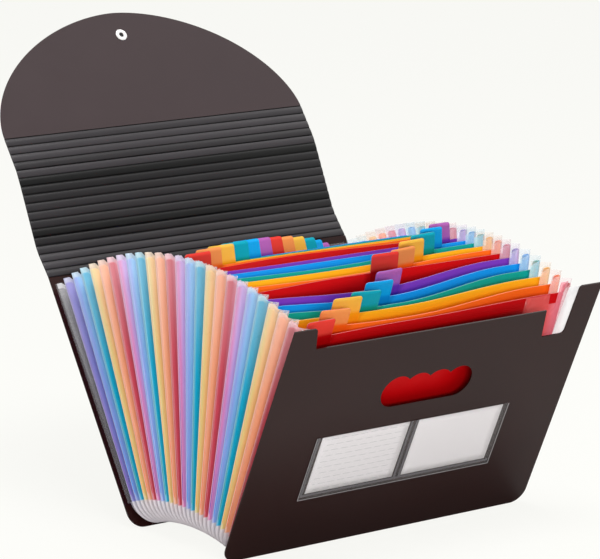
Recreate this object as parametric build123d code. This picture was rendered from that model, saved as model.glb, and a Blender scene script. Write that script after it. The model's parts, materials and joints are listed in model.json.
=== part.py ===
from build123d import *
import math
import os

# Accordion file folder standing open like a fan, in millimetres and degrees.
# X runs along its width, Y from the front cover to the back cover, and Z up from the table.
# Each cover and divider lies in a plane through one fan axis, parallel to X and under the table.
# In such a plane a place is given by x and by its distance from the fan axis.

# Fan
POCKETS = 25
FRONT_LEAN = 24.7
BACK_LEAN = 32.2
FAN_AXIS_DEPTH = 117.4

# Covers
COVER_WIDTH = 330.0
COVER_HEIGHT = 235.0
COVER_THICKNESS = 1.2
COVER_CORNER = 14.0

# Top edge of the front cover: two ears, a lowered centre edge and a notch beside the right ear
EAR_RISE = 21.0
LEFT_EAR_WIDTH = 23.0
RIGHT_EAR_WIDTH = 25.0
EAR_SLANT = 5.0
EAR_CORNER = 3.0
NOTCH_WIDTH = 25.0
NOTCH_DEPTH = 28.0
NOTCH_CORNER = 4.0

# Hand hole, scalloped along its top for the fingers
HANDLE_WIDTH = 97.0
HANDLE_HEIGHT = 31.0
HANDLE_DROP = 65.5
FINGERS = 4

# Label sleeve of clear film, and the cards in it
SLEEVE_WIDTH = 208.0
SLEEVE_HEIGHT = 66.0
SLEEVE_CENTRE_HEIGHT = 87.0
SLEEVE_FILM = 0.3
SLEEVE_SEAM = 8.0
CARD_WIDTH = 93.0
CARD_HEIGHT = 58.0
CARD_THICKNESS = 0.3
CARD_CLEARANCE = 1.0
CARD_HEADROOM = 0.1

# Dividers, their index tabs, and the narrow strips at their ends that rise inside the pleats
DIVIDER_THICKNESS = 0.4
DIVIDER_INSET = 5.0
DIVIDER_DROP_FRONT = 21.0
DIVIDER_DROP_BACK = 25.0
DIVIDER_BOTTOM_GAP = 2.0
DIVIDER_CORNER = 8.0
STRIP_WIDTH = 8.0
STRIP_RISE = 17.0
TAB_WIDTH = 29.0
TAB_HEIGHT = 16.0
TAB_CORNER = 4.0
TAB_MARGIN = 20.0
TABS_PER_RUN = 12

# Frosted pleats
PLEAT_DEPTH = 18.0
PLEAT_FILM = 0.3
PLEAT_INSET = 4.0
PLEAT_BOTTOM_LIFT = 5.0
PLEAT_DROP_FRONT = 0.5
PLEAT_DROP_BACK = 7.0
PLEAT_CLEARANCE = 0.05

# Lid: runs of ribs from the back cover upwards, with the lean of each run, and then the flap.
# Pressed creases part the ribs. The lid is cut at the creases where it folds, counted from the back cover.
RIBS_IN_RUN = (3, 1, 8, 1, 4)
RUN_LEANS = (40.0, 33.0, 25.0, 30.0, 36.0)
FOLD_CREASES = (0, 5, 13)
RIB_PITCH = 7.8
RIB_THICKNESS = 0.9
CREASE_GAP = 0.3
CREASE_FILM = 0.25
CREASE_BEVEL = 0.3
FOLD_BEVEL = 0.8
FLAP_LEAN = 38.0
FLAP_HEIGHT = 117.0
FLAP_THICKNESS = 0.9
FLAP_FULLNESS = 1.8
FLAP_OUTLINE_STEPS = 12

# Closure: a washer on the inside of the flap and a button on the outside
CLOSURE_DROP = 24.0
STEM_DIAMETER = 3.8
STEM_CLEARANCE = 0.1
WASHER_DIAMETER = 11.5
WASHER_THICKNESS = 1.0
WASHER_EDGE = 0.3
BUTTON_DIAMETER = 16.0
BUTTON_THICKNESS = 2.5
BUTTON_EDGE = 0.8
BUTTON_NECK_DIAMETER = 8.0
BUTTON_NECK = 1.5

# Worked out from the sizes above
DIVIDERS = POCKETS - 1
POCKET_ANGLE = (FRONT_LEAN + BACK_LEAN) / POCKETS
HALF_WIDTH = COVER_WIDTH / 2
FOOT_REACHES = [FAN_AXIS_DEPTH * math.tan(math.radians(lean)) for lean in (FRONT_LEAN, BACK_LEAN)]
FAN_AXIS = Vector(0, (FOOT_REACHES[0] - FOOT_REACHES[1]) / 2, -FAN_AXIS_DEPTH)
RIB_LEANS = [lean for count, lean in zip(RIBS_IN_RUN, RUN_LEANS) for _ in range(count)]
RIBS = len(RIB_LEANS)


def foot_radius(lean):
    """Distance from the fan axis to a cover's lower edge, which stands on the table."""
    turn = math.radians(lean)
    return (FAN_AXIS_DEPTH + COVER_THICKNESS / 2 * math.sin(turn)) / math.cos(turn)


FRONT_FOOT = foot_radius(FRONT_LEAN)
BACK_FOOT = foot_radius(BACK_LEAN)
FRONT_TOP = FRONT_FOOT + COVER_HEIGHT
BACK_TOP = BACK_FOOT + COVER_HEIGHT


def between(panel, front_value, back_value):
    """A value that changes evenly from the front cover, panel 0, to the back cover."""
    return front_value + (back_value - front_value) * panel / POCKETS


def divider_top(panel):
    return between(panel, FRONT_TOP - DIVIDER_DROP_FRONT, BACK_TOP - DIVIDER_DROP_BACK)


def pleat_top(panel):
    return between(panel, FRONT_TOP - PLEAT_DROP_FRONT, BACK_TOP - PLEAT_DROP_BACK)


def pleat_bottom(panel):
    return between(panel, FRONT_FOOT, BACK_FOOT) + PLEAT_BOTTOM_LIFT


def direction(lean):
    """Unit vector up a sheet that leans back by lean degrees."""
    turn = math.radians(lean)
    return Vector(0, math.sin(turn), math.cos(turn))


def sheet_plane(origin, lean):
    """Plane of a leaning sheet: x along the width, y up the sheet, z towards the front."""
    turn = math.radians(lean)
    return Plane(origin=origin, x_dir=(1, 0, 0), z_dir=(0, -math.cos(turn), math.sin(turn)))


def panel_lean(panel):
    return panel * POCKET_ANGLE - FRONT_LEAN


def panel_plane(panel):
    return sheet_plane(FAN_AXIS, panel_lean(panel))


def sheet(plane, outline, thickness):
    return extrude(plane * outline, amount=thickness / 2, both=True)


def corners_at(outline, height):
    return [corner for corner in outline.vertices() if abs(corner.Y - height) < 0.01]


# Covers

def front_outline():
    centre = FRONT_TOP - EAR_RISE
    left_ear = LEFT_EAR_WIDTH - HALF_WIDTH
    right_ear = HALF_WIDTH - RIGHT_EAR_WIDTH
    notch_left = right_ear - NOTCH_WIDTH
    notch_low = centre - NOTCH_DEPTH
    outline = make_face(Polyline(
        (-HALF_WIDTH, FRONT_FOOT),
        (HALF_WIDTH, FRONT_FOOT),
        (HALF_WIDTH, FRONT_TOP),
        (right_ear, FRONT_TOP),
        (right_ear, notch_low),
        (notch_left, notch_low),
        (notch_left - EAR_SLANT, centre),
        (left_ear + EAR_SLANT, centre),
        (left_ear, FRONT_TOP),
        (-HALF_WIDTH, FRONT_TOP),
        close=True,
    ))
    outline = fillet(corners_at(outline, FRONT_FOOT), COVER_CORNER)
    ear_tips = [corner for corner in corners_at(outline, FRONT_TOP) if left_ear <= corner.X <= right_ear]
    outline = fillet(ear_tips, EAR_CORNER)
    notch_end = max(corners_at(outline, notch_low), key=lambda corner: corner.X)
    return fillet(notch_end, NOTCH_CORNER)


def handle_outline():
    radius = HANDLE_HEIGHT / 2
    reach = HANDLE_WIDTH / 2 - radius
    centre = FRONT_TOP - HANDLE_DROP - radius
    outline = Pos(0, centre - radius / 2) * Rectangle(2 * reach, radius)
    for finger in range(FINGERS):
        x = reach * (2 * finger / (FINGERS - 1) - 1)
        outline += Pos(x, centre) * Circle(radius)
    return outline


def front_cover():
    return sheet(panel_plane(0), front_outline() - handle_outline(), COVER_THICKNESS)


def back_cover():
    outline = Pos(0, (BACK_FOOT + BACK_TOP) / 2) * Rectangle(COVER_WIDTH, COVER_HEIGHT)
    outline = fillet(corners_at(outline, BACK_FOOT), COVER_CORNER)
    bevel = make_face(Polyline(
        (0, 0),
        (0, COVER_THICKNESS / 2),
        (-FOLD_BEVEL, COVER_THICKNESS / 2),
        close=True,
    ))
    cut = extrude(rib_end(crease(0), BACK_LEAN) * bevel, amount=HALF_WIDTH, both=True)
    return sheet(panel_plane(POCKETS), outline, COVER_THICKNESS) - cut


# Label sleeve and cards

def cover_face():
    """Plane of the front cover's outer face, centred on the label sleeve."""
    face = panel_plane(0).offset(COVER_THICKNESS / 2)
    return face * Pos(0, FRONT_FOOT + SLEEVE_CENTRE_HEIGHT)


def card_place(side):
    return Pos(side * (CARD_WIDTH / 2 + CARD_CLEARANCE + SLEEVE_SEAM / 2), 0)


def card(side):
    return extrude(cover_face() * card_place(side) * Rectangle(CARD_WIDTH, CARD_HEIGHT), amount=CARD_THICKNESS)


def label_sleeve():
    cavity = CARD_THICKNESS + CARD_HEADROOM
    sleeve = extrude(cover_face() * Rectangle(SLEEVE_WIDTH, SLEEVE_HEIGHT), amount=cavity + SLEEVE_FILM)
    room = Rectangle(CARD_WIDTH + 2 * CARD_CLEARANCE, CARD_HEIGHT + 2 * CARD_CLEARANCE)
    for side in (-1, 1):
        sleeve -= extrude(cover_face() * card_place(side) * room, amount=cavity)
    return sleeve


# Dividers

def divider(panel):
    half = HALF_WIDTH - DIVIDER_INSET
    low = pleat_bottom(panel) + PLEAT_DEPTH + DIVIDER_BOTTOM_GAP
    high = divider_top(panel)
    tab_top = high + TAB_HEIGHT
    first_tab = -half + TAB_MARGIN
    tab_step = (2 * half - 2 * TAB_MARGIN - TAB_WIDTH) / (TABS_PER_RUN - 1)
    tab_left = first_tab + tab_step * ((panel - 1) % TABS_PER_RUN)
    tab_right = tab_left + TAB_WIDTH
    strip = half - STRIP_WIDTH
    strip_top = high + STRIP_RISE
    outline = make_face(Polyline(
        (-half, low),
        (half, low),
        (half, strip_top),
        (strip, strip_top),
        (strip, high),
        (tab_right, high),
        (tab_right, tab_top),
        (tab_left, tab_top),
        (tab_left, high),
        (-strip, high),
        (-strip, strip_top),
        (-half, strip_top),
        close=True,
    ))
    outline = fillet(corners_at(outline, low), DIVIDER_CORNER)
    tab_corners = [corner for corner in corners_at(outline, tab_top) if abs(corner.X) < strip]
    outline = fillet(tab_corners, TAB_CORNER)
    return sheet(panel_plane(panel), outline, DIVIDER_THICKNESS)


# Pleats: each pocket has a V fold on the left, on the right and at the bottom

def pocket_axes(pocket, radius):
    """Plane square to the pocket's middle line: x along the width, y towards the back."""
    lean = panel_lean(pocket + 0.5)
    up = direction(lean)
    return Plane(origin=FAN_AXIS + up * radius, x_dir=(1, 0, 0), z_dir=up)


def sheet_half(panel):
    """Room that a cover or divider takes on each side of its middle plane."""
    if panel in (0, POCKETS):
        return COVER_THICKNESS / 2 + PLEAT_CLEARANCE
    return DIVIDER_THICKNESS / 2 + PLEAT_CLEARANCE


def side_fold(pocket, side, radius):
    """Section of a side pleat at a distance from the fan axis: a V that points into the pocket."""
    half = radius * math.tan(math.radians(POCKET_ANGLE / 2))
    front = sheet_half(pocket) - half
    back = half - sheet_half(pocket + 1)
    middle = (front + back) / 2
    outer = HALF_WIDTH - PLEAT_INSET
    inner = outer - PLEAT_DEPTH
    groove = inner + PLEAT_DEPTH * PLEAT_FILM / (back - middle)
    section = make_face(Polyline(
        (side * outer, front),
        (side * inner, middle),
        (side * outer, back),
        (side * outer, back - PLEAT_FILM),
        (side * groove, middle),
        (side * outer, front + PLEAT_FILM),
        close=True,
    ))
    return pocket_axes(pocket, radius) * section


def side_pleat(pocket, side):
    low = side_fold(pocket, side, pleat_bottom(pocket + 0.5))
    high = side_fold(pocket, side, pleat_top(pocket + 0.5))
    return loft([low, high], ruled=True)


def bottom_pleat(pocket):
    low = pleat_bottom(pocket + 0.5)
    half = low * math.tan(math.radians(POCKET_ANGLE / 2))
    front = -half + (sheet_half(0) if pocket == 0 else 0)
    back = half - (sheet_half(POCKETS) if pocket == POCKETS - 1 else 0)
    middle = (front + back) / 2
    groove = PLEAT_DEPTH * (1 - PLEAT_FILM / (back - middle))
    up = direction(panel_lean(pocket + 0.5))
    # x of this plane runs up the pocket, and y towards its front.
    end = Plane(origin=FAN_AXIS + up * low, x_dir=up, z_dir=(1, 0, 0))
    fold = make_face(Polyline(
        (0, -front),
        (PLEAT_DEPTH, -middle),
        (0, -back),
        (0, PLEAT_FILM - back),
        (groove, -middle),
        (0, -front - PLEAT_FILM),
        close=True,
    ))
    reach = HALF_WIDTH - PLEAT_INSET - PLEAT_DEPTH
    return extrude(end * fold, amount=reach, both=True)


def pleats(make):
    return Compound([solid for pocket in range(POCKETS) for solid in make(pocket).solids()])


# Lid

def crease(index):
    """A point on a fold line of the lid, counted from the back cover's top edge."""
    point = FAN_AXIS + direction(BACK_LEAN) * BACK_TOP
    for lean in RIB_LEANS[:index]:
        point += direction(lean) * RIB_PITCH
    return point


def rib_end(origin, lean):
    """Plane of a rib's end: x runs up the rib, and y towards the inside of the lid."""
    return Plane(origin=origin, x_dir=direction(lean), z_dir=(1, 0, 0))


def bevel_at(crease_index):
    """Length of a rib's bevel beside a crease, and the height at which the bevel starts."""
    if crease_index in FOLD_CREASES:
        return FOLD_BEVEL, 0
    return CREASE_BEVEL, RIB_THICKNESS / 2 - CREASE_BEVEL


def rib(index):
    low = CREASE_GAP / 2
    high = RIB_PITCH - CREASE_GAP / 2
    outside = -RIB_THICKNESS / 2
    inside = RIB_THICKNESS / 2
    low_bevel, low_start = bevel_at(index)
    high_bevel, high_start = bevel_at(index + 1)
    section = make_face(Polyline(
        (low, outside),
        (high, outside),
        (high, high_start),
        (high - high_bevel, inside),
        (low + low_bevel, inside),
        (low, low_start),
        close=True,
    ))
    return extrude(rib_end(crease(index), RIB_LEANS[index]) * section, amount=HALF_WIDTH, both=True)


def crease_film(index):
    """Thin film left at a pressed crease, which joins the ribs on both sides of it."""
    leans = RIB_LEANS + [FLAP_LEAN]
    lean = (leans[index - 1] + leans[index]) / 2
    section = Rectangle(2 * CREASE_GAP, CREASE_FILM)
    return extrude(rib_end(crease(index), lean) * section, amount=HALF_WIDTH, both=True)


def ribs(first, end):
    """The ribs between two creases, as one sheet."""
    strip = rib(first)
    for index in range(first + 1, end):
        strip += crease_film(index)
        strip += rib(index)
    return strip


def flap_plane():
    return sheet_plane(crease(RIBS), FLAP_LEAN)


def flap_outline():
    low = CREASE_GAP / 2
    rise = FLAP_HEIGHT - low
    rim = []
    for step in range(2 * FLAP_OUTLINE_STEPS + 1):
        turn = math.pi * step / (2 * FLAP_OUTLINE_STEPS)
        across = math.copysign(abs(math.cos(turn)) ** (2 / FLAP_FULLNESS), math.cos(turn))
        up = abs(math.sin(turn)) ** (2 / FLAP_FULLNESS)
        rim.append((HALF_WIDTH * across, low + rise * up))
    return make_face([Spline(*rim), Line(rim[-1], rim[0])])


def lid_flap():
    hole = Circle(STEM_DIAMETER / 2 + STEM_CLEARANCE)
    flap = sheet(flap_plane(), flap_outline() - closure_place() * hole, FLAP_THICKNESS)
    return ribs(FOLD_CREASES[2], RIBS) + crease_film(RIBS) + flap


# Closure

def closure_place():
    return Pos(0, FLAP_HEIGHT - CLOSURE_DROP)


def closure_washer():
    place = flap_plane().offset(FLAP_THICKNESS / 2) * closure_place()
    disc = Cylinder(WASHER_DIAMETER / 2, WASHER_THICKNESS, align=(Align.CENTER, Align.CENTER, Align.MIN))
    disc = fillet(disc.edges().group_by(Axis.Z)[-1], WASHER_EDGE)
    hole = Cylinder(STEM_DIAMETER / 2 + STEM_CLEARANCE, 3 * WASHER_THICKNESS)
    return place * (disc - hole)


def closure_button():
    place = flap_plane().offset(-FLAP_THICKNESS / 2) * closure_place()
    top = (Align.CENTER, Align.CENTER, Align.MAX)
    neck = Cylinder(BUTTON_NECK_DIAMETER / 2, BUTTON_NECK, align=top)
    head = Cylinder(BUTTON_DIAMETER / 2, BUTTON_THICKNESS, align=top)
    head = Pos(0, 0, -BUTTON_NECK) * fillet(head.edges().group_by(Axis.Z)[0], BUTTON_EDGE)
    stem_length = BUTTON_NECK + FLAP_THICKNESS + WASHER_THICKNESS
    stem = Cylinder(STEM_DIAMETER / 2, stem_length, align=(Align.CENTER, Align.CENTER, Align.MIN))
    return place * (head + neck + Pos(0, 0, -BUTTON_NECK) * stem)


def all_nodes():
    nodes = {
        "front_cover": front_cover(),
        "back_cover": back_cover(),
        "label_sleeve": label_sleeve(),
        "lined_card": card(-1),
        "plain_card": card(1),
        "left_gusset": pleats(lambda pocket: side_pleat(pocket, -1)),
        "right_gusset": pleats(lambda pocket: side_pleat(pocket, 1)),
        "bottom_gusset": pleats(bottom_pleat),
        "lid_back_ribs": ribs(FOLD_CREASES[0], FOLD_CREASES[1]),
        "lid_front_ribs": ribs(FOLD_CREASES[1], FOLD_CREASES[2]),
        "lid_flap": lid_flap(),
        "closure_washer": closure_washer(),
        "closure_button": closure_button(),
    }
    for panel in range(1, DIVIDERS + 1):
        nodes[f"divider_{panel:02d}"] = divider(panel)
    return nodes


os.makedirs("parts", exist_ok=True)
for name, shape in all_nodes().items():
    export_step(shape, f"parts/{name}.step")
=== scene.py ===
"""Looks of an accordion file folder, in metres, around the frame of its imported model.

X runs along the folder's width, Y from its front cover to its back cover, and Z up from the table.
"""

import json
import math
from functools import partial

import bpy
import numpy as np
from bpy.props import FloatProperty, FloatVectorProperty, IntVectorProperty, PointerProperty
from mathutils import Matrix, Vector

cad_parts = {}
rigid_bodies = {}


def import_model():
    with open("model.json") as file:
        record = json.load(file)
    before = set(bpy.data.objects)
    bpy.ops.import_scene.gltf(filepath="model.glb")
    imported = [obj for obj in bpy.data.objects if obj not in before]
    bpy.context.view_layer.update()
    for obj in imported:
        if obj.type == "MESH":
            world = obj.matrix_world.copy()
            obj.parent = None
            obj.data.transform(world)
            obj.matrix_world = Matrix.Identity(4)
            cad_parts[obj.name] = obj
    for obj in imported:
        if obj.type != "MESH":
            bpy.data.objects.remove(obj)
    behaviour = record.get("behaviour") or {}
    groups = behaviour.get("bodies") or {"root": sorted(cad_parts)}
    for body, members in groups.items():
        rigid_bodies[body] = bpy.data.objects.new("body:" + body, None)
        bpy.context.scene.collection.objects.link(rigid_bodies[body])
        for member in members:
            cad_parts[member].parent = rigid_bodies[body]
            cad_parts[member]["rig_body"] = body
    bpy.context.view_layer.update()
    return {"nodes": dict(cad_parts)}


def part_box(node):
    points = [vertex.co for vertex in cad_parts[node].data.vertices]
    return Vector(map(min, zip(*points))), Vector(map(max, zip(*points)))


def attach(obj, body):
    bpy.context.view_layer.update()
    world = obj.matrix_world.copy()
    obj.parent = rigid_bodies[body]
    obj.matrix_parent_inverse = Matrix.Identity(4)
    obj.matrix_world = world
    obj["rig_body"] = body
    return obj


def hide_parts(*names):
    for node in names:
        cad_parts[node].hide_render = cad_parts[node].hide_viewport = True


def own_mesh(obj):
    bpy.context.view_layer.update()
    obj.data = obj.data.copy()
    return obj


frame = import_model()

bl_info = {
    "name": "Accordion file folder",
    "version": (1, 0, 0),
    "blender": (4, 5, 0),
    "location": "View3D > Sidebar > Folder",
    "description": "Dresses the folder's frame with its sheets, frosted pleats, lid and label",
    "category": "Add Mesh",
}

DIVIDERS = sum(name.startswith("divider_") for name in frame["nodes"])
POCKETS = DIVIDERS + 1
HALF_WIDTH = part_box("front_cover")[1].x

# What each kind of divider gives a colour to, and those colours on a screen, in the same order. The tab
# colours are painted paler than the sheets, for the light that shines through the tabs.
SHEET_PARTS = {
    "": "{} dividers",
    "_tab": "Tabs of the {} dividers",
    "_film": "Film that touches a {} sheet",
    "_haze": "Film at a distance from a {} sheet",
}
SHEET_SHADES = {
    "red": ((194, 4, 10), (242, 66, 56), (214, 84, 98), (255, 164, 180)),
    "orange": ((242, 104, 22), (255, 160, 88), (246, 186, 146), (255, 192, 146)),
    "yellow": ((240, 172, 24), (255, 202, 78), (226, 214, 146), (252, 216, 152)),
    "green": ((12, 152, 142), (16, 176, 200), (0, 180, 226), (120, 226, 255)),
    "blue": ((14, 142, 226), (16, 176, 248), (160, 176, 234), (166, 220, 255)),
    "purple": ((120, 54, 172), (192, 106, 190), (234, 140, 192), (230, 190, 246)),
}
SHEET_COLOURS = tuple(SHEET_SHADES)


def paint(*screen):
    """A colour as it is seen on a screen, from 0 to 255, turned into light values."""
    screen = np.array(screen) / 255
    light = np.where(screen <= 0.04045, screen / 12.92, ((screen + 0.055) / 1.055) ** 2.4)
    return tuple(float(value) for value in light)


def number(description, default, **kind):
    return lambda name: FloatProperty(name=name, description=description, default=default, **kind)


def length(description, default):
    return number(description, default, unit="LENGTH", precision=5)


def angle(description, degrees):
    return number(description, math.radians(degrees), subtype="ANGLE", unit="ROTATION")


def share(description, default):
    return number(description, default, min=0, max=1, subtype="FACTOR")


def numbers(description, default, make=FloatVectorProperty, **kind):
    size = len(default)
    return lambda name: make(name=name, description=description, default=default, size=size, **kind)


def counts(description, *default):
    return numbers(description, default, IntVectorProperty)


def colour(description, *screen):
    return numbers(description, paint(*screen), min=0, max=1, subtype="COLOR")


def labelled(group):
    """Makes the properties of a group, each with its own words as its name."""
    for key, make in group.__annotations__.items():
        group.__annotations__[key] = make(name=key.replace("_", " ").capitalize())
    return group


@labelled
class FolderFan(bpy.types.PropertyGroup):
    """Where the covers stand. They and the dividers lie in planes through one axis under the table."""

    front_lean: angle("How far the front cover leans to the front", 24.7)
    back_lean: angle("How far the back cover leans to the back", 32.2)
    axis_depth: length("Depth of the fan's axis under the table", 0.1174)
    cover_height: length("Height of a cover along its slope", 0.235)
    cover_thickness: length("Thickness of a cover", 0.0012)


@labelled
class FolderDividers(bpy.types.PropertyGroup):
    """Sizes of the coloured dividers."""

    thickness: length("Thickness of a divider sheet", 0.0007)
    inset: length("Distance from a cover's side edge to a divider's", 0.005)
    front_drop: length("Top edge below the cover's, at the front", 0.021)
    back_drop: length("Top edge below the cover's, at the back", 0.025)
    bottom_gap: length("Gap between a divider and the bottom fold", 0.005)
    corner: length("Radius of the bottom corners", 0.008)
    strip_width: length("Width of the end strips in the pleats", 0.008)
    strip_gap: length("Distance from the film's top to the end strips' tops", 0.0042)
    right_drop: length("How much lower the right strips and pleats end", 0.008)
    strip_corner: length("Radius at the top of an end strip", 0.0025)
    tab_width: length("Width of an index tab", 0.029)
    tab_height: length("Height of an index tab", 0.016)
    tab_corner: length("Radius of a tab's top corners", 0.0025)
    tab_margin: length("Distance from a divider's end to its run of tabs", 0.020)
    bellies: numbers(
        "Push to the back at the middle of the top edge, from the first divider on",
        (
            0.003, -0.006, -0.004, -0.013, -0.014, -0.013, 0.006, -0.006,
            -0.004, -0.009, -0.003, -0.005, 0.012, 0.009, 0.004,
        ),
        unit="LENGTH",
    )
    front_end_push: length("Push to the back at the first dividers' right end", 0.007)
    middle_end_push: length("Push to the back at the twelfth's right end", -0.006)
    draw_in: length("Distance that the right ends are drawn in at the top", 0.008)


@labelled
class FolderPleats(bpy.types.PropertyGroup):
    """Sizes of the frosted pleats."""

    film: length("Thickness of the film", 0.0003)
    inset: length("Distance from a cover's side edge to the outer folds", 0.004)
    depth: length("Depth of a pleat", 0.018)
    corner: length("Radius of the outer folds at the bottom corners", 0.022)
    bottom_lift: length("Rise of the bottom folds above the covers' lower edges", 0.0005)
    bottom_sag: length("How far the bottom folds sag in the middle", 0.006)
    cap_dip: length("How much lower the film ends inside a pleat than at its fold", 0.005)
    front_drop: length("Top of the film below the cover's, at the front", 0.0005)
    back_drop: length("Top of the film below the cover's, at the back", 0.007)
    flange: length("Width of the film that is welded to a cover on the right", 0.033)
    left_flange: length("Width of the film that is welded to a cover on the left", 0.014)


@labelled
class FolderLid(bpy.types.PropertyGroup):
    """Sizes of the lid: runs of ribs from the back cover upwards, and then the flap."""

    ribs_in_run: counts("Number of ribs in each run", 3, 1, 8, 1, 4)
    run_leans: numbers(
        "How far each run leans to the back",
        tuple(math.radians(lean) for lean in (40, 33, 25, 30, 36)),
        unit="ROTATION",
    )
    fold_creases: counts("Creases at which the lid folds", 0, 5, 13)
    rib_pitch: length("Distance from crease to crease", 0.0078)
    # Painted shade on each rib, from the back cover up: its grey stands in for the rib lying at a slightly
    # different angle to the light.
    painted_rib_shades: numbers(
        "How dark each rib is pressed, from the back cover up",
        (0.3, 0.1, 0.1, 0.4, 0.75, 1, 0.65, 0.5, 0.55, 0.7, 0.8, 1, 0.1, 0.5, 0.05, 0.05, 0.25),
        min=0,
        max=1,
    )
    rib_thickness: length("Thickness of a rib", 0.0009)
    flap_lean: angle("How far the flap leans to the back", 38)
    flap_height: length("Height of the flap along its slope", 0.117)
    flap_fullness: number("2 is an ellipse, and less is more pointed", 1.8)
    closure_drop: length("Distance from the flap's top to the closure", 0.024)


@labelled
class FolderLabel(bpy.types.PropertyGroup):
    """Sizes of the label sleeve and its cards."""

    width: length("Width of the sleeve", 0.208)
    height: length("Height of the sleeve", 0.066)
    centre_height: length("Height of its centre on the cover", 0.087)
    seam: length("Width of the seam between the pockets", 0.008)
    card_width: length("Width of a card", 0.093)
    card_height: length("Height of a card", 0.058)
    card_lift: length("How far the cards stand above the sleeve's centre", 0.002)


class FolderColours(bpy.types.PropertyGroup):
    """Colours of the folder. Those of each kind of divider are added below."""

    cover: colour("Black plastic of the covers", 38, 13, 11)
    # Painted highlight: the covers' cut edges are painted lighter, where they catch the light.
    cover_edge_highlight: colour("Cut edges of the covers", 88, 74, 74)
    lid: colour("Black plastic of the lid", 56, 44, 46)
    rib: colour("Black plastic of the ribs", 58, 55, 58)
    # Painted shade: the creases are painted nearly black where shade falls in them.
    crease: colour("Pressed plastic of the creases", 3, 3, 4)
    button: colour("Dark plastic of the button", 24, 22, 22)
    washer: colour("White plastic of the washer", 238, 236, 234)
    card: colour("Paper of the cards", 234, 229, 231)
    card_line: colour("Lines on the lined card", 186, 184, 186)
    weld: colour("Welded seams of the sleeve", 104, 101, 104)
    sleeve_edge: colour("Cut edge of the sleeve", 150, 148, 150)
    film: colour("Frosted film with nothing behind it", 243, 242, 243)
    film_floor: colour("Frosted film under the dividers", 238, 231, 236)
    last_film: colour("Film between the last sheet and the back cover", 166, 166, 234)
    red_weld: colour("Film that is welded to a red sheet", 240, 96, 92)


for word, shades in SHEET_SHADES.items():
    for (part, use), shade in zip(SHEET_PARTS.items(), shades):
        FolderColours.__annotations__[word + part] = colour(use.format(word).capitalize(), *shade)
labelled(FolderColours)


@labelled
class FolderStage(bpy.types.PropertyGroup):
    """The camera, the lamps and the floor."""

    azimuth: angle("Camera's direction round the folder", -38.35)
    elevation: angle("Camera's height above the horizon", 12.87)
    roll: angle("Camera's turn about its own line of sight", 0.42)
    distance: length("From the camera to the folder", 2.9425)
    target_height: length("Height of the point that the camera stands round", 0.15)
    aim_right: length("Aim to the right of that point", -0.0272)
    aim_up: length("Aim above that point", 0.0576)
    lens: number("Focal length in millimetres", 204.84)
    floor_size: length("Half the width of the floor", 30.0)
    backdrop: colour("Colour of the floor and the room behind it", 255, 255, 251)
    shadow: share("How much of the floor's own light and shadow shows", 0.1)
    room_light: number("Strength of the light from all sides", 0.34)
    key_light: number("Power of the lamp at the front", 23.0)
    fill_light: number("Power of the lamp at the right", 6.0)
    top_light: number("Power of the lamp above", 40.0)


# The fan and its soft sheets, and the lid


def ease(values, low, high):
    """0 before low, 1 after high, and a smooth rise between them."""
    part = np.clip((np.asarray(values, float) - low) / (high - low), 0, 1)
    return part * part * (3 - 2 * part)


def mix(first, second, part):
    """From first to second by a part from 0 to 1."""
    return first + (second - first) * part


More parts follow.
